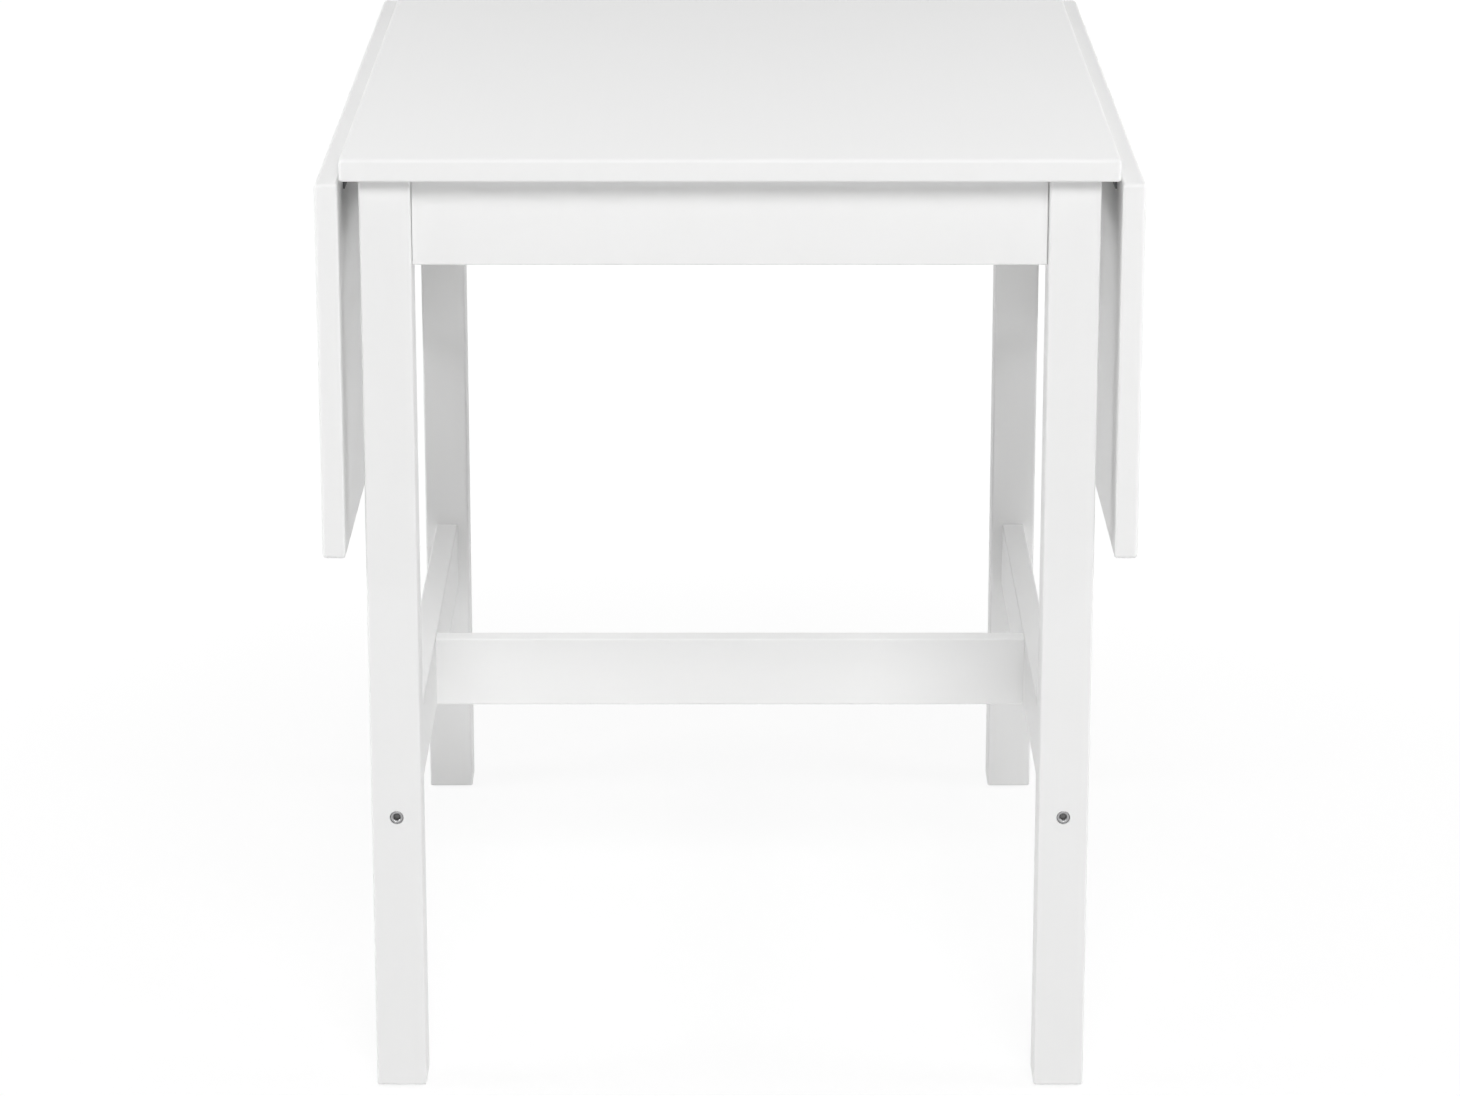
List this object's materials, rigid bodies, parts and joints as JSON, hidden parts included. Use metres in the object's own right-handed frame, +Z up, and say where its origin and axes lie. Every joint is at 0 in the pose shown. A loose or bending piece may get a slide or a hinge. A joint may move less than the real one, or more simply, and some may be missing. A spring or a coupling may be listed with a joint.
{
  "type": "drop-leaf dining table",
  "caption": "White rectangular dining table on square legs with low stretchers; hinged side leaves hang down and swing up to extend the top, held by folding stays.",
  "frame": {"origin": "on the floor, under the middle of the fixed top", "axes": "+X across the hinges towards the right leaf, +Y from the front end to the rear end, +Z up"},
  "size_m": [0.6384, 0.8, 0.77],
  "materials": {
    "white_board": "white satin lacquer on board",
    "white_wood": "white satin lacquer on solid wood",
    "dowel_wood": "bare beech",
    "glide_plastic": "moulded",
    "bolt_steel": "bright zinc plate",
    "screw_steel": "bright zinc plate",
    "hinge_steel": "dark oiled steel",
    "plated_steel": "pressed steel, zinc plated"
  },
  "bodies": {
    "frame": {"apron_dowels": "dowel_wood", "apron_pivot_rivets": "plated_steel", "barrel_nuts": "bolt_steel", "cross_bolts": "bolt_steel", "cross_stretcher": "white_wood", "foot_glides": "glide_plastic", "frame_screws": "screw_steel", "front_apron": "white_wood", "front_left_apron_bracket": "plated_steel", "front_left_corner_plate": "plated_steel", "front_left_hinge_top_wing": "hinge_steel", "front_left_leg": "white_wood", "front_right_apron_bracket": "plated_steel", "front_right_corner_plate": "plated_steel", "front_right_hinge_top_wing": "hinge_steel", "front_right_leg": "white_wood", "hinge_pins": "hinge_steel", "left_apron": "white_wood", "left_stretcher": "white_wood", "leg_bolts": "bolt_steel", "leg_nuts": "bolt_steel", "leg_studs": "bolt_steel", "rear_apron": "white_wood", "rear_left_apron_bracket": "plated_steel", "rear_left_corner_plate": "plated_steel", "rear_left_hinge_top_wing": "hinge_steel", "rear_left_leg": "white_wood", "rear_right_apron_bracket": "plated_steel", "rear_right_corner_plate": "plated_steel", "rear_right_hinge_top_wing": "hinge_steel", "rear_right_leg": "white_wood", "right_apron": "white_wood", "right_stretcher": "white_wood", "stretcher_dowels": "dowel_wood", "table_top": "white_board", "top_clips": "plated_steel"},
    "left_leaf": {"left_leaf": "white_board", "front_left_hinge_leaf_wing": "hinge_steel", "rear_left_hinge_leaf_wing": "hinge_steel", "front_left_leaf_bracket": "plated_steel", "rear_left_leaf_bracket": "plated_steel", "left_leaf_screws": "screw_steel", "left_leaf_pivot_rivets": "plated_steel"},
    "right_leaf": {"right_leaf": "white_board", "front_right_hinge_leaf_wing": "hinge_steel", "rear_right_hinge_leaf_wing": "hinge_steel", "front_right_leaf_bracket": "plated_steel", "rear_right_leaf_bracket": "plated_steel", "right_leaf_screws": "screw_steel", "right_leaf_pivot_rivets": "plated_steel"},
    "front_left_apron_arm": {"front_left_apron_arm": "plated_steel"},
    "front_left_leaf_arm": {"front_left_leaf_arm": "plated_steel"},
    "front_right_apron_arm": {"front_right_apron_arm": "plated_steel"},
    "front_right_leaf_arm": {"front_right_leaf_arm": "plated_steel"},
    "rear_left_apron_arm": {"rear_left_apron_arm": "plated_steel"},
    "rear_left_leaf_arm": {"rear_left_leaf_arm": "plated_steel"},
    "rear_right_apron_arm": {"rear_right_apron_arm": "plated_steel"},
    "rear_right_leaf_arm": {"rear_right_leaf_arm": "plated_steel"}
  },
  "joints": [
    {"name": "left_leaf_hinge", "type": "hinge", "parent": "frame", "child": "left_leaf", "pos_m": [-0.3005, 0, 0.75125], "axis": [0, 1, 0], "range_deg": [0, 90]},
    {"name": "right_leaf_hinge", "type": "hinge", "parent": "frame", "child": "right_leaf", "pos_m": [0.3005, 0, 0.75125], "axis": [0, -1, 0], "range_deg": [0, 90]},
    {"name": "front_left_apron_arm_pivot", "type": "hinge", "parent": "frame", "child": "front_left_apron_arm", "pos_m": [-0.287, -0.14645, 0.691], "axis": [0, -1, 0], "range_deg": [0, 75.4]},
    {"name": "front_left_leaf_arm_pivot", "type": "hinge", "parent": "left_leaf", "child": "front_left_leaf_arm", "pos_m": [-0.29125, -0.14365, 0.60125], "axis": [0, 1, 0], "range_deg": [0, 14.62]},
    {"name": "front_right_apron_arm_pivot", "type": "hinge", "parent": "frame", "child": "front_right_apron_arm", "pos_m": [0.287, -0.14645, 0.691], "axis": [0, 1, 0], "range_deg": [0, 75.4]},
    {"name": "front_right_leaf_arm_pivot", "type": "hinge", "parent": "right_leaf", "child": "front_right_leaf_arm", "pos_m": [0.29125, -0.14365, 0.60125], "axis": [0, -1, 0], "range_deg": [0, 14.62]},
    {"name": "rear_left_apron_arm_pivot", "type": "hinge", "parent": "frame", "child": "rear_left_apron_arm", "pos_m": [-0.287, 0.15355, 0.691], "axis": [0, -1, 0], "range_deg": [0, 75.4]},
    {"name": "rear_left_leaf_arm_pivot", "type": "hinge", "parent": "left_leaf", "child": "rear_left_leaf_arm", "pos_m": [-0.29125, 0.15635, 0.60125], "axis": [0, 1, 0], "range_deg": [0, 14.62]},
    {"name": "rear_right_apron_arm_pivot", "type": "hinge", "parent": "frame", "child": "rear_right_apron_arm", "pos_m": [0.287, 0.15355, 0.691], "axis": [0, 1, 0], "range_deg": [0, 75.4]},
    {"name": "rear_right_leaf_arm_pivot", "type": "hinge", "parent": "right_leaf", "child": "rear_right_leaf_arm", "pos_m": [0.29125, 0.15635, 0.60125], "axis": [0, -1, 0], "range_deg": [0, 14.62]}
  ],
  "couplings": [
    {"joint": "front_left_apron_arm_pivot", "follows": "left_leaf_hinge", "ratio": 0.83763},
    {"joint": "front_left_leaf_arm_pivot", "follows": "left_leaf_hinge", "ratio": 0.16237},
    {"joint": "front_right_apron_arm_pivot", "follows": "right_leaf_hinge", "ratio": 0.83763},
    {"joint": "front_right_leaf_arm_pivot", "follows": "right_leaf_hinge", "ratio": 0.16237},
    {"joint": "rear_left_apron_arm_pivot", "follows": "left_leaf_hinge", "ratio": 0.83763},
    {"joint": "rear_left_leaf_arm_pivot", "follows": "left_leaf_hinge", "ratio": 0.16237},
    {"joint": "rear_right_apron_arm_pivot", "follows": "right_leaf_hinge", "ratio": 0.83763},
    {"joint": "rear_right_leaf_arm_pivot", "follows": "right_leaf_hinge", "ratio": 0.16237}
  ]
}
